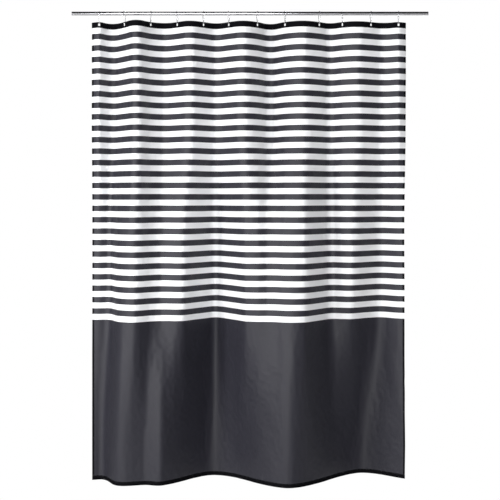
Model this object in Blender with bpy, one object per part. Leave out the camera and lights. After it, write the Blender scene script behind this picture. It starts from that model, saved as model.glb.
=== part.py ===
"""Shower curtain: one cloth hung by twelve wire rings on a straight rod.

Frame: +X along the rod to the right, +Z up, the front of the cloth faces -Y.
The origin is the centre of the rod's left end face. All sizes are in metres.
"""
import functools
import math

import bmesh
import bpy
from mathutils import Vector

# Rod: a thin tube, closed at each end by a pushed-in plug
ROD_LENGTH = 1.555
ROD_DIAMETER = 0.016
ROD_WALL = 0.001
PLUG_FACE = 0.0015
PLUG_DEPTH = 0.018
ROD_SIDES = 40

# Rings: one bent wire each, wide round the rod and narrow in the buttonhole
WIRE_DIAMETER = 0.0022
RING_HEIGHT = 0.0564
RING_TOP_RADIUS = 0.0155
RING_FOOT_RADIUS = 0.005
RING_SLIT = 0.0008
RING_CLEARANCE = 0.0005
TOP_ARC_STEPS = 14
FOOT_ARC_STEPS = 8
WIRE_ROUNDING = 2

# Cloth: its flat cut, and how far its hung edges stay from the rod's ends
CLOTH_WIDTH = 1.80
CLOTH_DROP = 2.00
LEFT_MARGIN = 0.085
RIGHT_MARGIN = 0.095
CLOTH_THICKNESS = 0.0005
HEM_THICKNESS = 0.001
TOP_HEM = 0.025
BOTTOM_HEM = 0.018
SIDE_HEM = 0.009
SEAM_GAP = 0.0003

# Buttonholes, centred on the rings
HOLE_HEIGHT = 0.011
HOLE_EASE = 0.0060
HOLE_TO_EDGE = 0.006
HOLE_TO_SIDE = 0.030

# The rings along the hung cloth: a free flap at each side, and the gaps from ring to ring
FREE_FLAP = 0.035
RING_GAPS = (0.11, 0.115, 0.115, 0.115, 0.11, 0.125, 0.12, 0.15, 0.10, 0.125, 0.12)
RING_TURN_SHARE = 0.3

# The low folds' crests and valleys: (place across the hung cloth, depth towards the back)
FOLDS_AT_STRIPE_END = (
    (0.0, 0.02), (0.08, 0.01), (0.12, -0.06), (0.18, -0.07), (0.30, -0.03), (0.40, -0.03), (0.54, 0.10),
    (0.68, -0.05), (0.92, -0.07), (1.04, 0.04), (1.14, 0.03), (1.27, 0.11), (1.375, 0.06),
)
FOLDS_AT_FOOT = (
    (0.0, 0.02), (0.05, 0.02), (0.11, -0.08), (0.15, -0.10), (0.24, -0.08), (0.32, -0.09),
    (0.54, 0.11), (0.86, -0.14), (1.18, 0.15), (1.375, 0.04),
)

# The folds between the rings: shoulders, how full each is, how far down they last, what is left below
SHOULDER = 0.35
FOLD_FULLNESS = (1.0, 1.2, 0.6, 0.7, 0.7, 0.8, 1.2, 1.6, 0.6, 0.5, 0.5)
EDGE_SET_BACK = 0.020
TOP_FOLDS_LAST_TO = 0.40
STRAIGHT_BELOW = 1.0
TOP_FOLDS_LEFT = 0.35

# The cloth's grid: spans under half an even ring spacing are narrow and take fewer columns
COLUMNS_PER_FOLD = 6
COLUMNS_IN_FLAP = 2
NARROW_SPAN = 0.5
PANEL_ROWS = 16

# How finely a row of cloth is measured, and how its depth is found
ROW_SAMPLES = 240
DEEPEST_SCALE = 4.0
SCALE_HALVINGS = 24
SLOPE_STEP = 0.002

# Edges that turn more than this are drawn sharp
SHARP_TURN = math.radians(40)

HUNG_WIDTH = ROD_LENGTH - LEFT_MARGIN - RIGHT_MARGIN
HOLE_WIDTH = WIRE_DIAMETER + HOLE_EASE
RING_TOP = (ROD_DIAMETER + WIRE_DIAMETER) / 2 + RING_CLEARANCE
RING_FOOT = RING_TOP - (RING_HEIGHT - WIRE_DIAMETER)
HOLE_TOP = RING_FOOT + WIRE_DIAMETER / 2 + SEAM_GAP
CLOTH_TOP = HOLE_TOP + HOLE_TO_EDGE
HOLE_SPACING = (CLOTH_WIDTH - 2 * HOLE_TO_SIDE) / len(RING_GAPS)


def ring_shares():
    """Each ring's share of the hung width: the gaps fill what the two flaps leave."""
    spread = (HUNG_WIDTH - 2 * FREE_FLAP) / sum(RING_GAPS)
    places = [FREE_FLAP]
    for gap in RING_GAPS:
        places.append(places[-1] + gap * spread)
    return [place / HUNG_WIDTH for place in places]


RING_SHARES = ring_shares()


def clear_scene():
    """Remove whatever is in the file already."""
    for existing in list(bpy.data.objects):
        bpy.data.objects.remove(existing, do_unlink=True)


def plain_material(name, colour, roughness, metallic):
    """A Principled material with one colour."""
    material = bpy.data.materials.new(name)
    material.use_nodes = True
    shader = material.node_tree.nodes["Principled BSDF"]
    shader.inputs["Base Color"].default_value = (*colour, 1.0)
    shader.inputs["Roughness"].default_value = roughness
    shader.inputs["Metallic"].default_value = metallic
    return material


def object_from_bmesh(name, mesh_in_progress, material):
    """Turn a finished bmesh into a named, smooth-shaded object."""
    bmesh.ops.recalc_face_normals(mesh_in_progress, faces=mesh_in_progress.faces)
    mesh = bpy.data.meshes.new(name)
    mesh_in_progress.to_mesh(mesh)
    mesh_in_progress.free()
    mesh.shade_smooth()
    mesh.set_sharp_from_angle(angle=SHARP_TURN)
    mesh.materials.append(material)
    piece = bpy.data.objects.new(name, mesh)
    bpy.context.collection.objects.link(piece)
    return piece


def evenly(start, end, count):
    """Count + 1 values from start to end."""
    return [start + (end - start) * n / count for n in range(count + 1)]


# ---------------------------------------------------------------- turned rod pieces

def turned_piece(name, outline, material):
    """Spin a closed (distance along the rod, radius) outline round the rod's axis."""
    build = bmesh.new()
    rings = []
    for step in range(ROD_SIDES):
        angle = 2 * math.pi * step / ROD_SIDES
        across = Vector((0.0, math.cos(angle), math.sin(angle)))
        rings.append([build.verts.new(Vector((along, 0.0, 0.0)) + across * radius)
                      for along, radius in outline])
    for step in range(ROD_SIDES):
        here, there = rings[step], rings[(step + 1) % ROD_SIDES]
        for corner in range(len(outline)):
            following = (corner + 1) % len(outline)
            build.faces.new((here[corner], here[following], there[following], there[corner]))
    return object_from_bmesh(name, build, material)


def make_rod(material):
    """The tube, shorter than the rod by the two plug faces."""
    outer = ROD_DIAMETER / 2
    inner = outer - ROD_WALL
    start = PLUG_FACE + SEAM_GAP
    end = ROD_LENGTH - start
    outline = [(start, outer), (end, outer), (end, inner), (start, inner)]
    return turned_piece("rod_tube", outline, material)


def make_end_plug(name, face_x, inward, material):
    """A round plug: a face as wide as the rod and a stem inside the tube."""
    build = bmesh.new()
    outer = ROD_DIAMETER / 2
    stem = outer - ROD_WALL - SEAM_GAP
    sections = ((0.0, outer), (PLUG_FACE, outer), (PLUG_FACE, stem), (PLUG_DEPTH, stem))
    rings = []
    for along, radius in sections:
        ring = []
        for step in range(ROD_SIDES):
            angle = 2 * math.pi * step / ROD_SIDES
            position = (face_x + inward * along, radius * math.cos(angle), radius * math.sin(angle))
            ring.append(build.verts.new(position))
        rings.append(ring)
    for ring, following in zip(rings, rings[1:]):
        for step in range(ROD_SIDES):
            beside = (step + 1) % ROD_SIDES
            build.faces.new((ring[step], ring[beside], following[beside], following[step]))
    build.faces.new(rings[0])
    build.faces.new(rings[-1])
    return object_from_bmesh(name, build, material)


# ---------------------------------------------------------------- wire rings

def arc_points(radius, centre_z, start, end, steps):
    """Points (y, z) of an arc about a centre on the ring's upright."""
    return [(radius * math.cos(angle), centre_z + radius * math.sin(angle))
            for angle in evenly(start, end, steps)]


def ring_outline():
    """The wire's centre line in (y, z): a wide arc, two straights and a narrow arc.

    It starts and ends at the back of the ring, half way up, where the wire is slit.
    """
    top_centre = RING_TOP - RING_TOP_RADIUS
    foot_centre = RING_FOOT + RING_FOOT_RADIUS
    lean = math.asin((RING_TOP_RADIUS - RING_FOOT_RADIUS) / (top_centre - foot_centre))
    points = arc_points(RING_TOP_RADIUS, top_centre, -lean, math.pi + lean, TOP_ARC_STEPS)
    points += arc_points(RING_FOOT_RADIUS, foot_centre, math.pi + lean, 2 * math.pi - lean, FOOT_ARC_STEPS)
    foot_end = Vector(points[-1])
    top_start = Vector(points[0])
    middle = (foot_end + top_start) / 2
    half_slit = (top_start - foot_end).normalized() * RING_SLIT / 2
    return [middle + half_slit, *points, middle - half_slit]


def make_ring_curve(material):
    """The bent wire, shared by every ring."""
    curve = bpy.data.curves.new("ring_wire", "CURVE")
    curve.dimensions = "3D"
    curve.bevel_depth = WIRE_DIAMETER / 2
    curve.bevel_resolution = WIRE_ROUNDING
    curve.render_resolution_u = 0
    curve.use_fill_caps = True
    outline = ring_outline()
    spline = curve.splines.new("POLY")
    spline.points.add(len(outline) - 1)
    for point, (y, z) in zip(spline.points, outline):
        point.co = (0.0, y, z, 1.0)
    curve.materials.append(material)
    return curve


def make_rings(material):
    """Twelve rings over the rod, each turned part of the way that the cloth slopes at it."""
    curve = make_ring_curve(material)
    for number, share in enumerate(RING_SHARES, start=1):
        ring = bpy.data.objects.new(f"ring_{number:02d}", curve)
        ring.location = (LEFT_MARGIN + share * HUNG_WIDTH, 0.0, 0.0)
        ring.rotation_euler = (0.0, 0.0, RING_TURN_SHARE * cloth_slope(share, HOLE_TO_EDGE))
        bpy.context.collection.objects.link(ring)


# ---------------------------------------------------------------- folded cloth

def eased(value, low, high):
    """0 below low, 1 above high, and smooth between."""
    share = min(max((value - low) / (high - low), 0.0), 1.0)
    return share * share * (3 - 2 * share)


def knot_slope(knots, index):
    """Slope of the curve at one knot, from its two neighbours."""
    before = knots[max(index - 1, 0)]
    after = knots[min(index + 1, len(knots) - 1)]
    return (after[1] - before[1]) / (after[0] - before[0])


def curve_through(knots, share):
    """A smooth curve through (share, depth) knots, read at one share."""
    index = 0
    while index < len(knots) - 2 and share > knots[index + 1][0]:
        index += 1
    start, end = knots[index], knots[index + 1]
    span = end[0] - start[0]
    t = (share - start[0]) / span
    rise_in = knot_slope(knots, index) * span
    rise_out = knot_slope(knots, index + 1) * span
    return (start[1] * (1 + 2 * t) * (1 - t) ** 2 + end[1] * t * t * (3 - 2 * t)
            + rise_in * t * (1 - t) ** 2 - rise_out * t * t * (1 - t))


def top_fold_knots():
    """Knots of the folds at the rings: the rings hold the cloth, and it arches between them.

    Each arch is as deep as the cloth between two buttonholes is longer than its span,
    backward and forward by turns, with two shoulders. The free edges hang back.
    """
    knots = [(0.0, EDGE_SET_BACK)]
    for index, (start, end) in enumerate(zip(RING_SHARES, RING_SHARES[1:])):
        span = (end - start) * HUNG_WIDTH
        spare = max(HOLE_SPACING ** 2 - span ** 2, 0.0)
        backward = 1 if index % 2 == 0 else -1
        depth = backward * FOLD_FULLNESS[index] * math.sqrt(2 * spare) / math.pi
        knots.append((start, 0.0))
        knots.append((start + SHOULDER * (end - start), depth))
        knots.append((end - SHOULDER * (end - start), depth))
    return [*knots, (RING_SHARES[-1], 0.0), (1.0, EDGE_SET_BACK)]


def low_fold_knots(folds):
    """Crests and valleys as shares of the hung width, moved so that the cloth hangs plumb."""
    width = folds[-1][0]
    knots = [(place / width, depth) for place, depth in folds]
    samples = evenly(0.0, 1.0, ROW_SAMPLES)
    mean = sum(curve_through(knots, share) for share in samples) / len(samples)
    return [(share, depth - mean) for share, depth in knots]


TOP_KNOTS = top_fold_knots()
MIDDLE_KNOTS = low_fold_knots(FOLDS_AT_STRIPE_END)
FOOT_KNOTS = low_fold_knots(FOLDS_AT_FOOT)


def fold_shape(share, drop):
    """Depth of the folds before a row's width of cloth is taken into account."""
    to_low = eased(drop, TOP_FOLDS_LAST_TO, STRAIGHT_BELOW)
    to_foot = eased(drop, STRAIGHT_BELOW, CLOTH_DROP)
    middle = curve_through(MIDDLE_KNOTS, share)
    low_folds = middle + (curve_through(FOOT_KNOTS, share) - middle) * to_foot
    top_left = 1 - to_low + TOP_FOLDS_LEFT * to_low * (1 - to_foot)
    return curve_through(TOP_KNOTS, share) * top_left + low_folds * to_low


@functools.lru_cache(maxsize=None)
def row_scale(drop):
    """How much deeper one row's folds are, so that the row is as long as the cloth is wide."""
    depths = [fold_shape(share, drop) for share in evenly(0.0, 1.0, ROW_SAMPLES)]
    step = HUNG_WIDTH / ROW_SAMPLES
    low, high = 0.0, DEEPEST_SCALE
    for _ in range(SCALE_HALVINGS):
        scale = (low + high) / 2
        length = sum(math.hypot(step, (there - here) * scale) for here, there in zip(depths, depths[1:]))
        if length < CLOTH_WIDTH:
            low = scale
        else:
            high = scale
    return scale


def fold_depth(share, drop):
    """Depth of the cloth at a share of its width and a distance below its top edge."""
    return fold_shape(share, drop) * row_scale(drop)


def cloth_slope(share, drop):
    """Angle of one row of cloth to the rod, seen from above."""
    rise = fold_depth(share + SLOPE_STEP, drop) - fold_depth(share - SLOPE_STEP, drop)
    return math.atan2(rise, 2 * SLOPE_STEP * HUNG_WIDTH)


def cloth_point(share, drop):
    """A point of the hung cloth's middle surface."""
    return Vector((LEFT_MARGIN + share * HUNG_WIDTH, fold_depth(share, drop), CLOTH_TOP - drop))


def cloth_normal(share, drop):
    """The cloth's outward direction, towards the back."""
    along = cloth_point(share + SLOPE_STEP, drop) - cloth_point(share - SLOPE_STEP, drop)
    down = cloth_point(share, drop + SLOPE_STEP) - cloth_point(share, drop - SLOPE_STEP)
    return along.cross(down).normalized()


def cloth_solid(name, shares, drops, thickness, material, holes=()):
    """A closed sheet over a grid of shares and drops, with some cells left open."""
    build = bmesh.new()
    front, back = {}, {}
    cells = {(i, j) for i in range(len(shares) - 1) for j in range(len(drops) - 1)} - set(holes)
    for i, j in sorted({(i + a, j + b) for i, j in cells for a in (0, 1) for b in (0, 1)}):
        centre = cloth_point(shares[i], drops[j])
        offset = cloth_normal(shares[i], drops[j]) * thickness / 2
        front[i, j] = build.verts.new(centre - offset)
        back[i, j] = build.verts.new(centre + offset)
    for i, j in sorted(cells):
        corners = ((i, j), (i + 1, j), (i + 1, j + 1), (i, j + 1))
        build.faces.new([front[corner] for corner in corners])
        build.faces.new([back[corner] for corner in reversed(corners)])
        neighbours = ((i, j - 1), (i + 1, j), (i, j + 1), (i - 1, j))
        for side, neighbour in enumerate(neighbours):
            if neighbour not in cells:
                start, end = corners[side], corners[(side + 1) % 4]
                build.faces.new((front[end], front[start], back[start], back[end]))
    bmesh.ops.triangulate(build, faces=build.faces)
    return object_from_bmesh(name, build, material)


def columns_between(start, end):
    """Columns of one span: fewer at the free flaps than between two rings."""
    wide = (end - start) > NARROW_SPAN / len(RING_SHARES)
    return evenly(start, end, COLUMNS_PER_FOLD if wide else COLUMNS_IN_FLAP)[:-1]


def fold_columns(first, last):
    """Column shares between two shares, the same number for each span between rings."""
    stops = [first, *(share for share in RING_SHARES if first < share < last), last]
    columns = []
    for start, end in zip(stops, stops[1:]):
        columns += columns_between(start, end)
    return [*columns, last]


def make_top_hem(material):
    """The top hem, with an upright buttonhole at each ring."""
    half_hole = HOLE_WIDTH / 2 / HUNG_WIDTH
    stops = [0.0]
    for share in RING_SHARES:
        stops += [share - half_hole, share + half_hole]
    stops.append(1.0)
    columns, hole_columns = [], []
    for number, (start, end) in enumerate(zip(stops, stops[1:])):
        is_hole = number % 2 == 1
        if is_hole:
            hole_columns.append(len(columns))
        columns += [start] if is_hole else columns_between(start, end)
    columns.append(1.0)
    rows = [0.0, HOLE_TO_EDGE, HOLE_TO_EDGE + HOLE_HEIGHT, TOP_HEM]
    holes = [(column, 1) for column in hole_columns]
    return cloth_solid("top_hem", columns, rows, HEM_THICKNESS, material, holes)


def make_cloth(panel_material, hem_material):
    """The panel and the four hems round it."""
    side = SIDE_HEM / HUNG_WIDTH
    gap = SEAM_GAP / HUNG_WIDTH
    body_top = TOP_HEM + SEAM_GAP
    body_end = CLOTH_DROP - BOTTOM_HEM - SEAM_GAP
    rows = evenly(body_top, body_end, PANEL_ROWS)
    cloth_solid("curtain_panel", fold_columns(side + gap, 1 - side - gap), rows,
                CLOTH_THICKNESS, panel_material)
    make_top_hem(hem_material)
    cloth_solid("bottom_hem", fold_columns(0.0, 1.0), [CLOTH_DROP - BOTTOM_HEM, CLOTH_DROP],
                HEM_THICKNESS, hem_material)
    cloth_solid("left_side_hem", [0.0, side], rows, HEM_THICKNESS, hem_material)
    cloth_solid("right_side_hem", [1 - side, 1.0], rows, HEM_THICKNESS, hem_material)


def build_curtain():
    """Make every piece."""
    clear_scene()
    steel = plain_material("polished_steel", (0.62, 0.62, 0.64), 0.18, 1.0)
    plug = plain_material("end_plug", (0.45, 0.45, 0.47), 0.35, 0.0)
    cloth = plain_material("curtain_cloth", (0.055, 0.055, 0.062), 0.75, 0.0)
    hem = plain_material("hem_cloth", (0.008, 0.008, 0.010), 0.8, 0.0)
    make_rod(steel)
    make_end_plug("rod_end_plug_left", 0.0, 1, plug)
    make_end_plug("rod_end_plug_right", ROD_LENGTH, -1, plug)
    make_rings(steel)
    make_cloth(cloth, hem)


build_curtain()
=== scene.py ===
"""Looks of the shower curtain: a draped, hemmed and stitched cloth on wire rings and a steel rod.

Cloth places are (across, down): metres along the flat cut from its left edge and from its top edge.
"""
import math

import bmesh
import bpy
import numpy as np
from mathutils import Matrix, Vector


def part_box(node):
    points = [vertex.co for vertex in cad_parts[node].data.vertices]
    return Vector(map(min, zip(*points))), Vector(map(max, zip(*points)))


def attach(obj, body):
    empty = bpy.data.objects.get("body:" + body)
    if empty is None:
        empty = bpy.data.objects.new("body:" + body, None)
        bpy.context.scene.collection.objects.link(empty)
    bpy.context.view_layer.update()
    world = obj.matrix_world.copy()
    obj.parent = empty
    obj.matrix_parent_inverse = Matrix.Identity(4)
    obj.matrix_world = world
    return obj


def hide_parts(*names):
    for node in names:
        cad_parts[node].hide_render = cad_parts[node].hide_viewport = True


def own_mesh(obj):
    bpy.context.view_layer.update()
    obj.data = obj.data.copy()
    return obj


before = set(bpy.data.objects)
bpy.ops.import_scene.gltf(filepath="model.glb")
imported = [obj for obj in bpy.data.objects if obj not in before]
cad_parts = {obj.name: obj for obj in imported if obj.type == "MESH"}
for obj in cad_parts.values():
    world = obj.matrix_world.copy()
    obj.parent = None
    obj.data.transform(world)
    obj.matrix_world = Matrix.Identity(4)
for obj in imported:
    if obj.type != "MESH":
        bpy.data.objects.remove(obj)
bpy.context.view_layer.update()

# The cloth's cut
CLOTH_WIDTH = 1.80
CLOTH_DROP = 2.00
TOP_HEM = 0.025
BOTTOM_HEM = 0.018
SIDE_HEM = 0.009
HOLE_HEIGHT = 0.011
HOLE_WIDTH = 0.0082
HOLE_TO_EDGE = 0.006
HOLE_TO_SIDE = 0.030
PLY = 0.0003
HEM_PLY = 0.001
TUCK = 0.004
TUCK_ROOM = 0.0004
HEM_GAP = 0.0003
SLOT_EASE = 0.0001
LIP = 0.00005
LIP_SLOPE = 0.0002
HEM_FOLD_STEPS = 6
STRIPE = 0.025
STRIPES_END = 1.30

# Where the frame holds it
RINGS = [f"ring_{number:02d}" for number in range(1, 13)]
ring_places = [sum((corner.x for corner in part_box(ring)), 0.0) / 2 for ring in RINGS]
hem_low, hem_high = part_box("top_hem")
HUNG_LEFT, HUNG_RIGHT = hem_low.x, hem_high.x
HUNG_WIDTH = HUNG_RIGHT - HUNG_LEFT
CLOTH_TOP = hem_high.z
ROD_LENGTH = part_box("rod_end_plug_right")[1].x
ROD_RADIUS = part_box("rod_tube")[1].z
RING_SHARES = [(place - HUNG_LEFT) / HUNG_WIDTH for place in ring_places]
HOLE_SPACING = (CLOTH_WIDTH - 2 * HOLE_TO_SIDE) / (len(RINGS) - 1)
HOLE_PLACES = [HOLE_TO_SIDE + HOLE_SPACING * number for number in range(len(RINGS))]
HOLE_DOWN = HOLE_TO_EDGE + HOLE_HEIGHT / 2

# The low folds' crests and valleys: (place across the hung cloth, depth towards the back)
FOLDS_AT_STRIPE_END = (
    (0.0, 0.02), (0.08, 0.01), (0.12, -0.06), (0.18, -0.07), (0.30, -0.03), (0.40, -0.03), (0.54, 0.10),
    (0.68, -0.05), (0.92, -0.07), (1.04, 0.04), (1.14, 0.03), (1.27, 0.11), (1.375, 0.06),
)
FOLDS_AT_FOOT = (
    (0.0, 0.02), (0.05, 0.02), (0.11, -0.08), (0.15, -0.10), (0.24, -0.08), (0.32, -0.09),
    (0.54, 0.11), (0.86, -0.14), (1.18, 0.15), (1.375, 0.04),
)

# The folds between the rings: shoulders, how full each is, how far down they last, what is left below
SHOULDER = 0.35
FOLD_FULLNESS = (1.0, 1.2, 0.6, 0.7, 0.7, 0.8, 1.2, 1.6, 0.6, 0.5, 0.5)
EDGE_SET_BACK = 0.020
TOP_FOLDS_LAST_TO = 0.40
STRAIGHT_BELOW = 1.0
TOP_FOLDS_LEFT = 0.35
DEEPEST_SCALE = 4.0
SCALE_HALVINGS = 30
ROW_SAMPLES = 1441

# Grid of the drape: cells between two buttonholes, and rows down the cloth
CELLS_PER_HOLE = 12
CELLS_AT_EDGE = 2
ROW_STEP = 0.0125


# ---------------------------------------------------------------- hung shape before it settles

def eased(value, low, high):
    """0 below low, 1 above high, and smooth between."""
    share = np.clip((value - low) / (high - low), 0.0, 1.0)
    return share * share * (3 - 2 * share)


def knot_slopes(knots):
    """Slope of the curve at each knot, from its two neighbours."""
    at, depth = np.array(knots).T
    index = np.arange(len(at))
    before, after = np.maximum(index - 1, 0), np.minimum(index + 1, len(at) - 1)
    return (depth[after] - depth[before]) / (at[after] - at[before])


def curve_through(knots, shares):
    """A smooth curve through (share, depth) knots, read at an array of shares."""
    at, depth = np.array(knots).T
    slope = knot_slopes(knots)
    index = np.clip(np.searchsorted(at, shares, side="left") - 1, 0, len(at) - 2)
    span = at[index + 1] - at[index]
    t = (shares - at[index]) / span
    return (depth[index] * (1 + 2 * t) * (1 - t) ** 2 + depth[index + 1] * t * t * (3 - 2 * t)
            + slope[index] * span * t * (1 - t) ** 2 - slope[index + 1] * span * t * t * (1 - t))


def top_fold_knots():
    """Knots of the folds at the rings: two shoulders each, deep by their spare cloth and fullness."""
    knots = [(0.0, EDGE_SET_BACK)]
    for index, (start, end) in enumerate(zip(RING_SHARES, RING_SHARES[1:])):
        span = (end - start) * HUNG_WIDTH
        spare = max(HOLE_SPACING ** 2 - span ** 2, 0.0)
        backward = 1 if index % 2 == 0 else -1
        depth = backward * FOLD_FULLNESS[index] * math.sqrt(2 * spare) / math.pi
        knots.append((start, 0.0))
        knots.append((start + SHOULDER * (end - start), depth))
        knots.append((end - SHOULDER * (end - start), depth))
    return [*knots, (RING_SHARES[-1], 0.0), (1.0, EDGE_SET_BACK)]


def low_depths(folds):
    """Depths of the low folds at every sample, moved so that the cloth hangs plumb."""
    depths = curve_through([(place / folds[-1][0], depth) for place, depth in folds], SAMPLES)
    return depths - depths.mean()


SAMPLES = np.linspace(0.0, 1.0, ROW_SAMPLES)
TOP_DEPTHS = curve_through(top_fold_knots(), SAMPLES)
MIDDLE_DEPTHS = low_depths(FOLDS_AT_STRIPE_END)
FOOT_DEPTHS = low_depths(FOLDS_AT_FOOT)


def row_depths(down):
    """Depth of the cloth along one row, before its width of cloth is taken into account."""
    to_low = eased(down, TOP_FOLDS_LAST_TO, STRAIGHT_BELOW)
    to_foot = eased(down, STRAIGHT_BELOW, CLOTH_DROP)
    low_folds = MIDDLE_DEPTHS + (FOOT_DEPTHS - MIDDLE_DEPTHS) * to_foot
    top_left = 1 - to_low + TOP_FOLDS_LEFT * to_low * (1 - to_foot)
    return TOP_DEPTHS * top_left + low_folds * to_low


def row_length(depths):
    """Distance along the row from the left edge to each sample."""
    steps = np.hypot(np.diff(SAMPLES) * HUNG_WIDTH, np.diff(depths))
    return np.concatenate(([0.0], np.cumsum(steps)))


def hung_row(down, across):
    """Places of one row's vertices, with the folds deep enough to take up the whole width."""
    depths = row_depths(down)
    low, high = 0.0, DEEPEST_SCALE
    for _ in range(SCALE_HALVINGS):
        scale = (low + high) / 2
        if row_length(depths * scale)[-1] < CLOTH_WIDTH:
            low = scale
        else:
            high = scale
    depths = depths * scale
    length = row_length(depths)
    held = np.interp(across, [0.0, *HOLE_PLACES, CLOTH_WIDTH],
                     np.interp([0.0, *RING_SHARES, 1.0], SAMPLES, length))
    near_rings = 1 - eased(down, TOP_HEM, STRAIGHT_BELOW)
    along = across * length[-1] / CLOTH_WIDTH
    shares = np.interp(along + (held - along) * near_rings, length, SAMPLES)
    row = np.empty((len(across), 3))
    row[:, 0] = HUNG_LEFT + shares * HUNG_WIDTH
    row[:, 1] = np.interp(shares, SAMPLES, depths)
    row[:, 2] = CLOTH_TOP - down
    return row


def grid_lines():
    """The drape's column places across the flat cloth and its row places down it."""
    columns = list(np.linspace(0.0, HOLE_TO_SIDE, CELLS_AT_EDGE + 1)[:-1])
    for start in HOLE_PLACES[:-1]:
        columns += [start + HOLE_SPACING * n / CELLS_PER_HOLE for n in range(CELLS_PER_HOLE)]
    columns += list(np.linspace(CLOTH_WIDTH - HOLE_TO_SIDE, CLOTH_WIDTH, CELLS_AT_EDGE + 1))
    rows = [0.0, HOLE_DOWN, *np.arange(TOP_HEM, CLOTH_DROP + ROW_STEP / 2, ROW_STEP)]
    return np.array(columns), np.array(rows)


# ---------------------------------------------------------------- cloth simulation

SETTLE_FRAMES = 16


def settle(shape, columns, rows):
    """Let the hung cloth settle: held at the buttonholes, at its flat cut's size."""
    scene = bpy.context.scene
    high, wide = len(rows), len(columns)
    corner = np.arange(high * wide).reshape(high, wide)
    faces = np.stack([corner[:-1, :-1], corner[1:, :-1], corner[1:, 1:], corner[:-1, 1:]], axis=-1)
    mesh = bpy.data.meshes.new("drape")
    mesh.from_pydata(shape.reshape(-1, 3), [], faces.reshape(-1, 4).tolist())
    drape = bpy.data.objects.new("drape", mesh)
    scene.collection.objects.link(drape)
    drape.shape_key_add(name="hung")
    flat_key = drape.shape_key_add(name="flat")
    flat = np.zeros((high, wide, 3))
    flat[..., 0] = columns[None, :]
    flat[..., 2] = -rows[:, None]
    flat_key.data.foreach_set("co", flat.ravel())
    held = drape.vertex_groups.new(name="held")
    for place in HOLE_PLACES:
        held.add([int(corner[1, np.abs(columns - place).argmin()])], 1.0, "REPLACE")
    cloth = drape.modifiers.new("cloth", "CLOTH")
    settings = cloth.settings
    settings.quality = 8
    settings.mass = 0.0004
    settings.tension_stiffness = 60
    settings.compression_stiffness = 60
    settings.shear_stiffness = 20
    settings.bending_model = "ANGULAR"
    settings.bending_stiffness = 1.0
    settings.tension_damping = 5
    settings.compression_damping = 5
    settings.shear_damping = 5
    settings.bending_damping = 0.5
    settings.air_damping = 1.0
    settings.vertex_group_mass = "held"
    settings.rest_shape_key = flat_key
    cloth.collision_settings.use_collision = False
    cloth.collision_settings.use_self_collision = False
    scene.frame_start, scene.frame_end = 1, SETTLE_FRAMES
    cloth.point_cache.frame_start, cloth.point_cache.frame_end = 1, SETTLE_FRAMES
    for number in range(1, SETTLE_FRAMES + 1):
        scene.frame_set(number)
    fallen = drape.evaluated_get(bpy.context.evaluated_depsgraph_get()).data
    settled = np.empty(high * wide * 3)
    fallen.vertices.foreach_get("co", settled)
    bpy.data.objects.remove(drape)
    bpy.data.meshes.remove(mesh)
    scene.frame_set(1)
    return settled.reshape(high, wide, 3)


def make_drape_grid():
    """The hung cloth as a grid of points over its flat columns and rows."""
    columns, rows = grid_lines()
    shape = np.array([hung_row(down, columns) for down in rows])
    shape = settle(shape, columns, rows)
    return shape, columns, rows


drape_shape, drape_columns, drape_rows = make_drape_grid()


def cubic_weights(t):
    """Weights of four neighbours for a smooth curve through the middle two."""
    return np.stack([((-t + 2) * t - 1) * t / 2, ((3 * t - 5) * t * t + 2) / 2,
                     ((-3 * t + 4) * t + 1) * t / 2, ((t - 1) * t * t) / 2])


def cloth_points(across, down):
    """Places of the cloth's middle surface at arrays of (across, down)."""
    across, down = np.broadcast_arrays(np.asarray(across, float), np.asarray(down, float))
    column = np.interp(across, drape_columns, np.arange(len(drape_columns)))
    row = np.interp(down, drape_rows, np.arange(len(drape_rows)))
    left = np.clip(column.astype(int), 0, len(drape_columns) - 2)
    upper = np.clip(row.astype(int), 0, len(drape_rows) - 2)
    across_weights = cubic_weights(column - left)
    down_weights = cubic_weights(row - upper)
    padded = np.pad(drape_shape, ((1, 1), (1, 1), (0, 0)), mode="reflect", reflect_type="odd")
    total = np.zeros(across.shape + (3,))
    for i in range(4):
        for j in range(4):
            weight = down_weights[i] * across_weights[j]
            total += padded[upper + i, left + j] * weight[..., None]
    return total


FRAME_STEP = 0.001


def cloth_frame(across, down):
    """Places, and unit directions across, down and out of the back of the cloth."""
    centre = cloth_points(across, down)
    along = cloth_points(np.minimum(across + FRAME_STEP, CLOTH_WIDTH), down)
    along = along - cloth_points(np.maximum(across - FRAME_STEP, 0.0), down)
    below = cloth_points(across, np.minimum(down + FRAME_STEP, CLOTH_DROP))
    below = below - cloth_points(across, np.maximum(down - FRAME_STEP, 0.0))
    back = -np.cross(along, -below)
    return centre, *(v / np.linalg.norm(v, axis=-1, keepdims=True) for v in (along, below, back))


def on_cloth(across, down, out):
    """Places at (across, down), out from the middle surface towards the back."""
    across, down, out = np.broadcast_arrays(across, down, out)
    centre, _, _, back = cloth_frame(across, down)
    return centre + back * np.asarray(out)[..., None]


# ---------------------------------------------------------------- mesh helpers

SHARP_TURN = math.radians(50)


def new_piece(name, points, faces, flat_places=None):
    """A mesh object from points and faces, with its flat cloth places as a UV map."""
    mesh = bpy.data.meshes.new(name)
    mesh.from_pydata(np.asarray(points).reshape(-1, 3), [], faces)
    mesh.shade_smooth()
    mesh.set_sharp_from_angle(angle=SHARP_TURN)
    if flat_places is not None:
        layer = mesh.uv_layers.new(name="flat_cloth")
        loops = np.empty(len(mesh.loops), int)
        mesh.loops.foreach_get("vertex_index", loops)
        layer.data.foreach_set("uv", np.asarray(flat_places, float).reshape(-1, 2)[loops].ravel())
    mesh.validate()
    piece = bpy.data.objects.new(name, mesh)
    bpy.context.scene.collection.objects.link(piece)
    return piece


def give(piece, material):
    """Put one material on a piece."""
    piece.data.materials.clear()
    piece.data.materials.append(material)
    return piece


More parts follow.
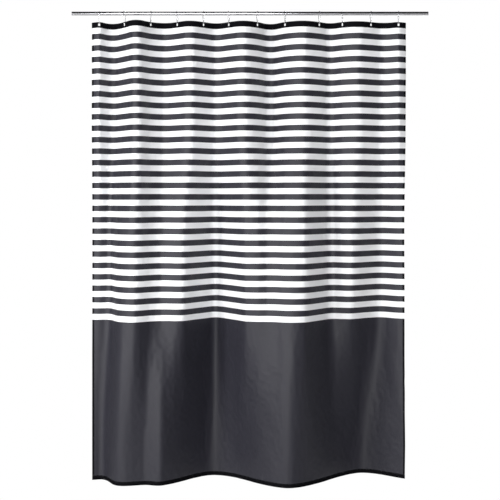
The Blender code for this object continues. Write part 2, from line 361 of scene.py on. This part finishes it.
def closed_sweep(sections, closed_path, cells_left_open=()):
    """Faces of a closed section carried along a path, and caps on an open path's two ends.

    sections is (path, section) vertex indices. A cell is (path index, section index).
    """
    length, around = sections.shape
    faces = []
    for i in range(length if closed_path else length - 1):
        here, there = sections[i], sections[(i + 1) % length]
        for j in range(around):
            if (i, j) in cells_left_open:
                continue
            k = (j + 1) % around
            faces.append((int(here[j]), int(there[j]), int(there[k]), int(here[k])))
    if not closed_path:
        faces.append(tuple(int(n) for n in sections[0]))
        faces.append(tuple(int(n) for n in reversed(sections[-1])))
    return faces


def tidy_normals(piece):
    """Turn every face outward."""
    build = bmesh.new()
    build.from_mesh(piece.data)
    bmesh.ops.recalc_face_normals(build, faces=build.faces)
    build.to_mesh(piece.data)
    build.free()
    return piece


# ---------------------------------------------------------------- cloth pieces

PANEL_STEP = 0.0066
EDGE_STEPS = 4


def make_panel():
    """The single sheet between the hems: a front and a back face joined at the rim."""
    across = np.linspace(SIDE_HEM - TUCK, CLOTH_WIDTH - SIDE_HEM + TUCK,
                         round(CLOTH_WIDTH / PANEL_STEP))
    down = np.linspace(TOP_HEM - TUCK, CLOTH_DROP - BOTTOM_HEM + TUCK,
                       round(CLOTH_DROP / PANEL_STEP))
    wide, high = len(across), len(down)
    u, v = np.meshgrid(across, down)
    front = on_cloth(u, v, -PLY / 2)
    back = on_cloth(u, v, PLY / 2)
    corner = np.arange(wide * high).reshape(high, wide)
    cells = np.stack([corner[:-1, :-1], corner[:-1, 1:], corner[1:, 1:], corner[1:, :-1]], axis=-1)
    cells = cells.reshape(-1, 4)
    rim = np.concatenate([corner[0, :-1], corner[:-1, -1], corner[-1, :0:-1], corner[:0:-1, 0]])
    following = np.roll(rim, -1)
    count = wide * high
    sides = np.stack([following, rim, rim + count, following + count], axis=-1)
    faces = np.concatenate([cells, cells[:, ::-1] + count, sides])
    places = np.stack([u, v], axis=-1)
    points = np.concatenate([front.reshape(-1, 3), back.reshape(-1, 3)])
    return tidy_normals(new_piece("curtain_cloth", points, faces.tolist(),
                                  np.concatenate([places, places])))


def hem_section(depth, stops=()):
    """Closed (inward distance from the edge, out) outline of a folded hem.

    It is rounded at the fold, and open below for the single cloth that goes up into it.
    """
    half = HEM_PLY / 2
    slot = PLY / 2 + SLOT_EASE
    fold = [(half - half * math.sin(a), -half * math.cos(a))
            for a in np.linspace(0.0, math.pi, HEM_FOLD_STEPS + 1)[1:-1]]
    front = [(depth, -slot - LIP), (depth - LIP_SLOPE, -half), *((s, -half) for s in reversed(stops))]
    back = [*((s, half) for s in stops), (depth - LIP_SLOPE, half), (depth, slot + LIP)]
    inside = [(depth - TUCK - TUCK_ROOM, slot), (depth - TUCK - TUCK_ROOM, -slot)]
    return [*front, (half, -half), *fold, (half, half), *back, *inside]


def make_strip(name, section, path, place):
    """A hem: its section carried along the cloth's edge."""
    outline = np.array(section)
    inward, out = outline[:, 0], outline[:, 1]
    across, down = place(inward[None, :], path[:, None])
    points = on_cloth(across, down, out[None, :])
    index = np.arange(points.shape[0] * points.shape[1]).reshape(points.shape[:2])
    places = np.stack(np.broadcast_arrays(across, down), axis=-1)
    return tidy_normals(new_piece(name, points, closed_sweep(index, False), places))


def make_top_hem():
    """The top hem, folded double, with an opening at each ring."""
    stops = (HOLE_TO_EDGE, HOLE_TO_EDGE + HOLE_HEIGHT)
    section = np.array(hem_section(TOP_HEM, stops))
    path = [0.0]
    holes = []
    for place in HOLE_PLACES:
        left, right = place - HOLE_WIDTH / 2, place + HOLE_WIDTH / 2
        span = np.linspace(path[-1], left, max(2, round((left - path[-1]) / PANEL_STEP)))
        path += list(span[1:])
        holes.append(len(path) - 1)
        path.append(right)
    path += list(np.linspace(path[-1], CLOTH_WIDTH, EDGE_STEPS + 1)[1:])
    path = np.array(path)
    points = on_cloth(path[:, None], section[None, :, 0], section[None, :, 1])
    count = len(section)
    index = np.arange(len(path) * count).reshape(len(path), count)
    half = HEM_PLY / 2
    front = [n for n, (down, out) in enumerate(section) if out == -half and down in stops]
    back = [n for n, (down, out) in enumerate(section) if out == half and down in stops]
    front_low, front_high = front
    back_high, back_low = back
    left_open = {(hole, front_low) for hole in holes} | {(hole, back_high) for hole in holes}
    faces = closed_sweep(index, False, left_open)
    for hole in holes:
        here, there = index[hole], index[hole + 1]
        faces.append([int(n) for n in (here[front_high], there[front_high],
                                       there[back_high], here[back_high])])
        faces.append([int(n) for n in (here[front_low], here[back_low],
                                       there[back_low], there[front_low])])
        for side in (here, there):
            faces.append([int(n) for n in (side[front_low], side[front_high],
                                           side[back_high], side[back_low])])
    places = np.stack(np.broadcast_arrays(path[:, None], section[None, :, 0]), axis=-1)
    return tidy_normals(new_piece("top_hem_cloth", points, faces, places))


def make_hems():
    """All four hems."""
    along_width = np.linspace(0.0, CLOTH_WIDTH, round(CLOTH_WIDTH / PANEL_STEP))
    along_drop = np.linspace(TOP_HEM + HEM_GAP, CLOTH_DROP - BOTTOM_HEM - HEM_GAP,
                             round(CLOTH_DROP / PANEL_STEP))
    side = hem_section(SIDE_HEM)
    return {
        "top_hem": make_top_hem(),
        "bottom_hem": make_strip("bottom_hem_cloth", hem_section(BOTTOM_HEM), along_width,
                                 lambda inward, path: (path, CLOTH_DROP - inward)),
        "left_side_hem": make_strip("left_side_hem_cloth", side, along_drop,
                                    lambda inward, path: (inward, path)),
        "right_side_hem": make_strip("right_side_hem_cloth", side, along_drop,
                                     lambda inward, path: (CLOTH_WIDTH - inward, path)),
    }


# ---------------------------------------------------------------- thread

THREAD_RADIUS = 0.00022
STITCH_LENGTH = 0.0030
STITCH_PITCH = 0.0040
SEAM_INSET = 0.0022
SEAM_START = 0.002
THREAD_SIDES = 5
STITCH_STATIONS = np.array([0.0, 0.14, 0.5, 0.86, 1.0])
STITCH_LIFTS = np.array([-0.6, 0.7, 1.0, 0.7, -0.6])


def stitch_row(name, starts, ends):
    """A lockstitch seam: short raised threads on both faces, from (across, down) starts to ends."""
    starts, ends = np.asarray(starts, float), np.asarray(ends, float)
    lifts = STITCH_LIFTS * THREAD_RADIUS
    angles = np.arange(THREAD_SIDES) * 2 * math.pi / THREAD_SIDES
    all_points, all_faces, places = [], [], []
    offset = 0
    for side in (-1, 1):
        flat = starts[:, None, :] + (ends - starts)[:, None, :] * STITCH_STATIONS[None, :, None]
        centre, along, below, back = cloth_frame(flat[..., 0], flat[..., 1])
        direction = (ends - starts) / np.linalg.norm(ends - starts, axis=1, keepdims=True)
        cross = below * direction[:, None, :1] - along * direction[:, None, 1:]
        centre = centre + back * (side * (HEM_PLY / 2 + lifts))[None, :, None]
        ring = (cross[:, :, None, :] * np.cos(angles)[None, None, :, None]
                + back[:, :, None, :] * np.sin(angles)[None, None, :, None]) * THREAD_RADIUS
        points = centre[:, :, None, :] + ring
        index = offset + np.arange(points[..., 0].size).reshape(points.shape[:3])
        for stitch in index:
            all_faces += closed_sweep(stitch, False)
        all_points.append(points.reshape(-1, 3))
        places.append(np.repeat(flat[:, :, None, :], THREAD_SIDES, axis=2).reshape(-1, 2))
        offset += points[..., 0].size
    return tidy_normals(new_piece(name, np.concatenate(all_points), all_faces, np.concatenate(places)))


def seam_places(first, last):
    """Start and end of each stitch between two (across, down) places."""
    first, last = np.array(first), np.array(last)
    length = np.linalg.norm(last - first)
    direction = (last - first) / length
    count = int(length / STITCH_PITCH)
    starts = first + direction * (np.arange(count)[:, None] * STITCH_PITCH)
    return starts, starts + direction * STITCH_LENGTH


def make_seams():
    """The thread of the four hems."""
    right, foot = CLOTH_WIDTH, CLOTH_DROP
    top_row, foot_row = TOP_HEM - SEAM_INSET, foot - BOTTOM_HEM + SEAM_INSET
    side_row = SIDE_HEM - SEAM_INSET
    side_start, side_end = TOP_HEM + SEAM_START, foot - BOTTOM_HEM - SEAM_START
    lines = {
        "top_hem_seam": ((SEAM_START, top_row), (right - SEAM_START, top_row)),
        "bottom_hem_seam": ((SEAM_START, foot_row), (right - SEAM_START, foot_row)),
        "left_side_seam": ((side_row, side_start), (side_row, side_end)),
        "right_side_seam": ((right - side_row, side_start), (right - side_row, side_end)),
    }
    return [stitch_row(name, *seam_places(first, last)) for name, (first, last) in lines.items()]


WELT_WIDTH = 0.0010
WELT_PROUD = 0.00022
WELT_RIDGE = 0.00012
WELT_INTO_HOLE = 0.0001
WELT_STITCHES = 66
WELT_SIDES = 8
WELT_SQUARENESS = 0.45


def make_buttonhole(number, place):
    """Close thread round one buttonhole: a ridged band that wraps the hem's cut edge."""
    half_wide = HOLE_WIDTH / 2 - WELT_INTO_HOLE + WELT_WIDTH
    half_high = HOLE_HEIGHT / 2 - WELT_INTO_HOLE + WELT_WIDTH
    count = WELT_STITCHES * 4
    turn = np.linspace(0.0, 2 * math.pi, count, endpoint=False)
    shape_x = np.sign(np.cos(turn)) * np.abs(np.cos(turn)) ** WELT_SQUARENESS
    shape_y = np.sign(np.sin(turn)) * np.abs(np.sin(turn)) ** WELT_SQUARENESS
    around = np.arange(WELT_SIDES) * 2 * math.pi / WELT_SIDES
    ridge = WELT_RIDGE * np.cos(turn * WELT_STITCHES)
    width = WELT_WIDTH * np.cos(around)[None, :]
    out = (HEM_PLY / 2 + WELT_PROUD + ridge[:, None]) * np.sin(around)[None, :]
    across = place + shape_x[:, None] * (half_wide + width)
    down = HOLE_DOWN + shape_y[:, None] * (half_high + width)
    points = on_cloth(across, down, out)
    index = np.arange(points[..., 0].size).reshape(points.shape[:2])
    places = np.stack([across, down], axis=-1)
    name = f"buttonhole_thread_{number:02d}"
    return tidy_normals(new_piece(name, points, closed_sweep(index, True), places))


# ---------------------------------------------------------------- rod and rings

ROD_SIDES = 96
CORNER_STEPS = 4
ROD_WALL = 0.001
ROD_END_SOFTENING = 0.0003
ROD_HOLLOW_SHOWN = 0.03
PLUG_FLANGE = 0.0015
PLUG_SOFTENING = 0.0004
PLUG_STEM_GAP = 0.0013
PLUG_STEM_BEVEL = 0.001


def make_turned(name, outline):
    """Spin an open (along, radius) outline, closed at both ends, round the rod's axis."""
    angles = np.arange(ROD_SIDES) * 2 * math.pi / ROD_SIDES
    outline = np.array(outline)
    points = np.empty((len(outline), ROD_SIDES, 3))
    points[..., 0] = outline[:, :1]
    points[..., 1] = outline[:, 1:] * np.cos(angles)
    points[..., 2] = outline[:, 1:] * np.sin(angles)
    index = np.arange(len(outline) * ROD_SIDES).reshape(len(outline), ROD_SIDES)
    return tidy_normals(new_piece(name, points, closed_sweep(index, False)))


def rounded_corner(along, radius, size, from_face):
    """Points of a quarter-round edge between an end face and the outside."""
    return [(along + from_face * size * (1 - math.cos(a)), radius - size * (1 - math.sin(a)))
            for a in np.linspace(0.0, math.pi / 2, CORNER_STEPS + 1)]


def make_rod():
    """The tube with softened ends, hollow where the plugs go in."""
    low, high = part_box("rod_tube")
    bore = ROD_RADIUS - ROD_WALL
    outline = [(low.x + ROD_HOLLOW_SHOWN, bore), (low.x, bore),
               *rounded_corner(low.x, ROD_RADIUS, ROD_END_SOFTENING, 1),
               *rounded_corner(high.x, ROD_RADIUS, ROD_END_SOFTENING, -1)[::-1],
               (high.x, bore), (high.x - ROD_HOLLOW_SHOWN, bore)]
    return make_turned("rod", outline)


def make_plug(name, node, face_x, inward):
    """An end plug with a softened rim and a stem."""
    low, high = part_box(node)
    stem = ROD_RADIUS - PLUG_STEM_GAP
    length = high.x - low.x
    outline = [*rounded_corner(face_x, ROD_RADIUS, PLUG_SOFTENING, inward),
               (face_x + inward * PLUG_FLANGE, ROD_RADIUS), (face_x + inward * PLUG_FLANGE, stem),
               (face_x + inward * (length - PLUG_STEM_BEVEL), stem),
               (face_x + inward * length, stem - PLUG_STEM_BEVEL)]
    return make_turned(name, outline)


WIRE_RADIUS = 0.0011
RING_TOP_RADIUS = 0.0155
RING_FOOT_RADIUS = 0.005
RING_HALF_SLIT = 0.0004
WIRE_SIDES = 14
TOP_ARC_STEPS = 48
FOOT_ARC_STEPS = 24
DOME_ANGLES = (0.25, 0.6, 1.0, 1.57)


def ring_path(node):
    """The ring's wire as (sideways, up): a wide arc and a narrow one, slit at the back."""
    low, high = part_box(node)
    top_radius, foot_radius = RING_TOP_RADIUS, RING_FOOT_RADIUS
    top_centre = high.z - WIRE_RADIUS - top_radius
    foot_centre = low.z + WIRE_RADIUS + foot_radius
    lean = math.asin((top_radius - foot_radius) / (top_centre - foot_centre))
    path = [(top_radius * math.cos(a), top_centre + top_radius * math.sin(a))
            for a in np.linspace(-lean, math.pi + lean, TOP_ARC_STEPS + 1)]
    path += [(foot_radius * math.cos(a), foot_centre + foot_radius * math.sin(a))
             for a in np.linspace(math.pi + lean, 2 * math.pi - lean, FOOT_ARC_STEPS + 1)]
    path = np.array(path)
    middle = (path[0] + path[-1]) / 2
    towards_top = (path[0] - path[-1]) / np.linalg.norm(path[0] - path[-1])
    half_slit = towards_top * RING_HALF_SLIT
    tip = towards_top * WIRE_RADIUS
    upper_end = [(middle + half_slit + tip * (1 - math.cos(a)), math.sin(a))
                 for a in DOME_ANGLES]
    lower_end = [(middle - half_slit - tip * (1 - math.cos(a)), math.sin(a))
                 for a in reversed(DOME_ANGLES)]
    centres = [place for place, _ in upper_end] + list(path) + [place for place, _ in lower_end]
    sizes = [size for _, size in upper_end] + [1.0] * len(path) + [size for _, size in lower_end]
    return np.array(centres), np.array(sizes)


def make_ring(node, turn):
    """One bent wire with domed ends, turned about the upright as its CAD ring is."""
    centres, sizes = ring_path(node)
    tangent = np.gradient(centres, axis=0)
    tangent /= np.linalg.norm(tangent, axis=1, keepdims=True)
    outward = np.stack([tangent[:, 1], -tangent[:, 0]], axis=1)
    angles = np.arange(WIRE_SIDES) * 2 * math.pi / WIRE_SIDES
    spread = WIRE_RADIUS * sizes[:, None] * np.cos(angles)
    sideways = centres[:, None, 0] + outward[:, None, 0] * spread
    up = centres[:, None, 1] + outward[:, None, 1] * spread
    off_plane = WIRE_RADIUS * sizes[:, None] * np.sin(angles)
    low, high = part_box(node)
    points = np.empty(sideways.shape + (3,))
    points[..., 0] = (low.x + high.x) / 2 + off_plane * math.cos(turn) - sideways * math.sin(turn)
    points[..., 1] = off_plane * math.sin(turn) + sideways * math.cos(turn)
    points[..., 2] = up
    index = np.arange(points[..., 0].size).reshape(points.shape[:2])
    return tidy_normals(new_piece(f"{node}_wire", points, closed_sweep(index, False)))


def ring_turn(node, number):
    """How far a CAD ring is turned about the upright, read from how wide it is."""
    low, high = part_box(node)
    deep, wide = high.y - low.y, high.x - low.x
    turn = math.atan2(wide - 2 * WIRE_RADIUS, deep - 2 * WIRE_RADIUS)
    return turn if number % 2 else -turn


# ---------------------------------------------------------------- materials

class Nodes:
    """Short calls that add nodes to one material."""

    def __init__(self, name):
        self.material = bpy.data.materials.new(name)
        self.material.use_nodes = True
        self.tree = self.material.node_tree
        self.shader = self.tree.nodes["Principled BSDF"]

    def add(self, kind, inputs=None, **settings):
        node = self.tree.nodes.new(kind)
        for key, value in settings.items():
            setattr(node, key, value)
        for key, value in (inputs or {}).items():
            self.put(node.inputs[key], value)
        return node

    def put(self, socket, value):
        """Link an output to a socket, or set its value."""
        if isinstance(value, bpy.types.NodeSocket):
            self.tree.links.new(value, socket)
        else:
            socket.default_value = value

    def math(self, operation, *values, clamp=False):
        node = self.add("ShaderNodeMath", operation=operation, use_clamp=clamp)
        for socket, value in zip(node.inputs, values):
            self.put(socket, value)
        return node.outputs[0]

    def mix(self, factor, first, second, blend="MIX"):
        node = self.add("ShaderNodeMix", data_type="RGBA", blend_type=blend)
        self.put(node.inputs[0], factor)
        self.put(node.inputs[6], first)
        self.put(node.inputs[7], second)
        return node.outputs[2]

    def noise(self, vector, scale, detail=2.0):
        inputs = {"Vector": vector, "Scale": scale, "Detail": detail}
        return self.add("ShaderNodeTexNoise", inputs).outputs[0]

    def stretched(self, vector, scale):
        node = self.add("ShaderNodeMapping", {"Vector": vector})
        node.inputs["Scale"].default_value = scale
        return node.outputs[0]

    def bump(self, height, distance, strength=1.0, normal=None):
        node = self.add("ShaderNodeBump", {"Height": height, "Distance": distance, "Strength": strength})
        if normal is not None:
            self.put(node.inputs["Normal"], normal)
        return node.outputs[0]

    def surface(self, **values):
        for key, value in values.items():
            self.put(self.shader.inputs[key.replace("_", " ")], value)
        return self.material


CHARCOAL = (0.0150, 0.0145, 0.0215, 1.0)
CHARCOAL_LIGHT = (0.0230, 0.0225, 0.0320, 1.0)
# Hem charcoal: the cloth's own dye, darkened further as painted shade for the light that does not shine
# through the doubled cloth.
HEM_CHARCOAL_PAINTED_SHADE = (0.0020, 0.0020, 0.0030, 1.0)
HEM_CHARCOAL_LIGHT_PAINTED_SHADE = (0.0045, 0.0045, 0.0060, 1.0)
WHITE = (0.86, 0.87, 0.89, 1.0)
WHITE_LIGHT = (0.92, 0.92, 0.93, 1.0)
YARN = 0.0005
SLUB_WIDTH = 0.0012
SLUB_DOWN, SLUB_ACROSS = 0.05, 0.06
DYE_BLEED = 0.0003
BAND_SHARPNESS = -14.0
TWIST_PITCH = 0.0004


def cloth_material(name, dark, dark_light, striped, rough, specular, sheen):
    """Plain-weave polyester, dyed in bands down the cloth where striped."""
    n = Nodes(name)
    flat = n.add("ShaderNodeUVMap", uv_map="flat_cloth").outputs[0]
    split = n.add("ShaderNodeSeparateXYZ", {0: flat})
    across, down = split.outputs[0], split.outputs[1]
    yarns_across = n.math("SINE", n.math("MULTIPLY", across, math.pi / YARN))
    yarns_down = n.math("SINE", n.math("MULTIPLY", down, math.pi / YARN))
    weave = n.math("MULTIPLY", yarns_across, yarns_down)
    slubs_down = n.noise(n.stretched(flat, (1 / SLUB_WIDTH, 1 / SLUB_DOWN, 1.0)), 1.0)
    slubs_across = n.noise(n.stretched(flat, (1 / SLUB_ACROSS, 1 / SLUB_WIDTH, 1.0)), 1.0)
    cloudy = n.noise(flat, 9.0, 3.0)
    vary = n.math("ADD", n.math("MULTIPLY", slubs_down, 0.4), n.math("MULTIPLY", slubs_across, 0.3))
    vary = n.math("ADD", vary, n.math("MULTIPLY", cloudy, 0.3))
    vary = n.math("ADD", vary, n.math("MULTIPLY", weave, 0.12), clamp=True)
    colour = n.mix(vary, dark, dark_light)
    if striped:
        bleed = n.math("MULTIPLY_ADD", n.noise(flat, 900.0), DYE_BLEED, -DYE_BLEED / 2)
        bands = n.math("SINE", n.math("MULTIPLY", n.math("ADD", down, bleed), math.pi / STRIPE))
        white = n.math("MULTIPLY_ADD", bands, BAND_SHARPNESS, 0.5, clamp=True)
        white = n.math("MULTIPLY", white, n.math("LESS_THAN", down, STRIPES_END + STRIPE / 2))
        colour = n.mix(white, colour, n.mix(vary, WHITE, WHITE_LIGHT))
    height = n.math("ADD", n.math("MULTIPLY", weave, 0.5), n.math("MULTIPLY", slubs_down, 0.6))
    height = n.math("ADD", height, n.math("MULTIPLY", slubs_across, 0.4))
    normal = n.bump(height, 0.00006)
    roughness = n.math("MULTIPLY_ADD", vary, 0.12, rough - 0.06)
    return n.surface(Base_Color=colour, Roughness=roughness, Normal=normal, Sheen_Weight=sheen,
                     Sheen_Roughness=0.35, Sheen_Tint=(0.9, 0.92, 1.0, 1.0), Specular_IOR_Level=specular)


def thread_material():
    """Twisted black sewing thread, darker in the twist's grooves as painted shade."""
    n = Nodes("thread")
    flat = n.add("ShaderNodeUVMap", uv_map="flat_cloth").outputs[0]
    split = n.add("ShaderNodeSeparateXYZ", {0: flat})
    run = n.math("ADD", split.outputs[0], split.outputs[1])
    twist = n.math("SINE", n.math("MULTIPLY", run, 2 * math.pi / TWIST_PITCH))
    # Painted shade: the thread's colour is darker where the twist's bump dips into its grooves.
    painted_groove_shade = n.math("MULTIPLY_ADD", twist, 0.5, 0.5)
    colour = n.mix(painted_groove_shade, (0.008, 0.008, 0.010, 1.0), (0.022, 0.022, 0.026, 1.0))
    normal = n.bump(twist, 0.00004)
    return n.surface(Base_Color=colour, Roughness=0.55, Normal=normal,
                     Sheen_Weight=0.2, Sheen_Roughness=0.4)


def steel_material(name, along, light, rough):
    """Polished steel with fine drawing lines along one axis and faint smears."""
    n = Nodes(name)
    place = n.add("ShaderNodeTexCoord").outputs["Object"]
    lines_scale = (8.0, 2500.0, 2500.0) if along == "x" else (2500.0, 2500.0, 60.0)
    lines = n.noise(n.stretched(place, lines_scale), 1.0, 3.0)
    smears = n.noise(place, 30.0, 4.0)
    roughness = n.math("MULTIPLY_ADD", lines, 0.05, n.math("MULTIPLY_ADD", smears, 0.05, rough - 0.05))
    dull = tuple(channel * 0.9 for channel in light[:3]) + (1.0,)
    colour = n.mix(smears, light, dull)
    normal = n.bump(lines, 0.0000015)
    return n.surface(Base_Color=colour, Roughness=roughness, Normal=normal, Metallic=1.0)


def plug_material():
    """Grey moulded plastic with a fine grain."""
    n = Nodes("moulded_grey")
    place = n.add("ShaderNodeTexCoord").outputs["Object"]
    grain = n.noise(place, 3000.0, 2.0)
    colour = n.mix(n.noise(place, 200.0), (0.33, 0.33, 0.35, 1.0), (0.38, 0.38, 0.40, 1.0))
    return n.surface(Base_Color=colour, Roughness=n.math("MULTIPLY_ADD", grain, 0.1, 0.38),
                     Normal=n.bump(grain, 0.00002))


# ---------------------------------------------------------------- build the object

panel_cloth = cloth_material("banded_cloth", CHARCOAL, CHARCOAL_LIGHT, True, 0.54, 0.36, 0.03)
dark_hem = cloth_material("hem_charcoal_painted_shade_cloth", HEM_CHARCOAL_PAINTED_SHADE, HEM_CHARCOAL_LIGHT_PAINTED_SHADE,
                          # The hems' charcoal carries painted shade: less light shines through the
                          # doubled cloth than through the single panel.
                          False, 0.75, 0.04, 0.0)
side_hem_cloth = cloth_material("hem_banded_painted_shade_cloth", HEM_CHARCOAL_PAINTED_SHADE, HEM_CHARCOAL_LIGHT_PAINTED_SHADE,
                                True, 0.75, 0.04, 0.0)
thread = thread_material()
rod_steel = steel_material("rod_polished_steel", "x", (0.60, 0.60, 0.62, 1.0), 0.14)
ring_steel = steel_material("ring_polished_steel", "z", (0.66, 0.66, 0.68, 1.0), 0.20)
grey_plastic = plug_material()


def hang(piece, material, slot, *nodes):
    """Finish a soft piece: give it its material, hang it on the curtain's body so it moves with the
    cloth, and hide the CAD parts it stands for.
    """
    give(piece, material)
    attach(piece, "curtain")
    if nodes:
        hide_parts(*nodes)
    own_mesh(piece)
    return piece


def build_cloth():
    """Panel, hems, seams and buttonholes."""
    hems = make_hems()
    panel = hang(make_panel(), panel_cloth, "curtain_cloth", "curtain_panel")
    for node, hem in hems.items():
        is_side = "side" in node
        hang(hem, side_hem_cloth if is_side else dark_hem, "hem_cloth", node)
    thread_pieces = make_seams()
    thread_pieces += [make_buttonhole(number, place)
                      for number, place in enumerate(HOLE_PLACES, start=1)]
    for piece in thread_pieces:
        hang(piece, thread, "hem_cloth")


def build_hardware():
    """Rod, plugs and rings."""
    rod = give(make_rod(), rod_steel)
    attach(rod, "rod")
    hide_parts("rod_tube")
    for name, node, face_x, inward in (("end_plug_left", "rod_end_plug_left", 0.0, 1),
                                       ("end_plug_right", "rod_end_plug_right", ROD_LENGTH, -1)):
        plug = give(make_plug(name, node, face_x, inward), grey_plastic)
        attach(plug, "rod")
        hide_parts(node)
    for number, node in enumerate(RINGS, start=1):
        ring = give(make_ring(node, ring_turn(node, number)), ring_steel)
        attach(ring, node)
        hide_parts(node)


build_cloth()
build_hardware()


# ---------------------------------------------------------------- stage, lights and camera

FLOOR_BELOW_HEM = 0.12
FLOOR_RADIUS = 9.0
FLOOR_SIDES = 128
CAMERA_DISTANCE = 5.5
CAMERA_BELOW_ROD = 0.80
FRAME_WIDTH_AT_CLOTH = 2.18
SENSOR_WIDTH = 36.0
CAMERA_SHIFT = -0.106

# The surroundings' glow as the object sees it: brighter low down, dark above
AMBIENT_LOW = 0.34
AMBIENT_HIGH = 0.04
DARK_ABOVE = 0.35


def make_stage():
    """A plain white floor and surrounding that light the object only softly."""
    n = Nodes("pale_floor")
    place = n.add("ShaderNodeTexCoord").outputs["Object"]
    colour = n.mix(n.noise(place, 2.0), (0.90, 0.90, 0.90, 1.0), (0.93, 0.93, 0.93, 1.0))
    material = n.surface(Base_Color=colour, Roughness=0.9)
    seen = n.add("ShaderNodeLightPath").outputs["Is Camera Ray"]
    plain = n.add("ShaderNodeEmission", {"Color": (1.0, 1.0, 1.0, 1.0), "Strength": 1.0}).outputs[0]
    blend = n.add("ShaderNodeMixShader", {0: seen, 1: n.shader.outputs[0], 2: plain}).outputs[0]
    n.put(n.tree.nodes["Material Output"].inputs["Surface"], blend)
    floor_z = CLOTH_TOP - CLOTH_DROP - FLOOR_BELOW_HEM
    middle = ROD_LENGTH / 2
    turn = np.arange(FLOOR_SIDES) * 2 * math.pi / FLOOR_SIDES
    points = np.stack([middle + FLOOR_RADIUS * np.cos(turn), FLOOR_RADIUS * np.sin(turn),
                       np.full(FLOOR_SIDES, floor_z)], axis=1)
    floor = give(new_piece("floor", points, [list(range(FLOOR_SIDES))]), material)
    world = bpy.data.worlds.new("studio")
    bpy.context.scene.world = world
    world.use_nodes = True
    nodes, links = world.node_tree.nodes, world.node_tree.links
    background = nodes["Background"]
    background.inputs["Color"].default_value = (1.0, 1.0, 1.0, 1.0)
    direction = nodes.new("ShaderNodeSeparateXYZ")
    links.new(nodes.new("ShaderNodeTexCoord").outputs["Generated"], direction.inputs[0])
    glow = nodes.new("ShaderNodeMapRange")
    links.new(direction.outputs["Z"], glow.inputs["Value"])
    glow.inputs["From Min"].default_value = 0.0
    glow.inputs["From Max"].default_value = DARK_ABOVE
    glow.inputs["To Min"].default_value = AMBIENT_LOW
    glow.inputs["To Max"].default_value = AMBIENT_HIGH
    strength = nodes.new("ShaderNodeMix")
    links.new(nodes.new("ShaderNodeLightPath").outputs["Is Camera Ray"], strength.inputs[0])
    links.new(glow.outputs[0], strength.inputs[2])
    strength.inputs[3].default_value = 1.0
    links.new(strength.outputs[0], background.inputs["Strength"])


def make_light(name, place, target, size, power):
    """A soft square light aimed at a point."""
    data = bpy.data.lights.new(name, "AREA")
    data.shape = "RECTANGLE"
    data.size, data.size_y = size
    data.energy = power
    light = bpy.data.objects.new(name, data)
    light.location = place
    light.rotation_euler = (Vector(target) - Vector(place)).to_track_quat("-Z", "Y").to_euler()
    bpy.context.scene.collection.objects.link(light)


def make_camera():
    """Level camera in front of the rod's middle, with its horizon above the frame's centre."""
    data = bpy.data.cameras.new("camera")
    data.sensor_width = SENSOR_WIDTH
    data.lens = SENSOR_WIDTH * CAMERA_DISTANCE / FRAME_WIDTH_AT_CLOTH
    data.shift_y = CAMERA_SHIFT
    camera = bpy.data.objects.new("camera", data)
    camera.location = (ROD_LENGTH / 2, -CAMERA_DISTANCE, -CAMERA_BELOW_ROD)
    camera.rotation_euler = (math.pi / 2, 0.0, 0.0)
    bpy.context.scene.collection.objects.link(camera)
    bpy.context.scene.camera = camera


middle_x = ROD_LENGTH / 2
make_stage()
make_light("key", (middle_x - 3.4, -2.6, -0.4), (middle_x, 0.0, -1.0), (1.2, 2.8), 125)
make_light("front", (middle_x - 0.9, -5.9, -0.4), (middle_x, 0.0, -1.0), (2.6, 2.0), 230)
make_light("back", (middle_x + 3.2, 3.4, -0.4), (middle_x, 0.0, -1.0), (1.4, 2.6), 200)
make_camera()
bpy.context.scene.view_settings.view_transform = "Standard"
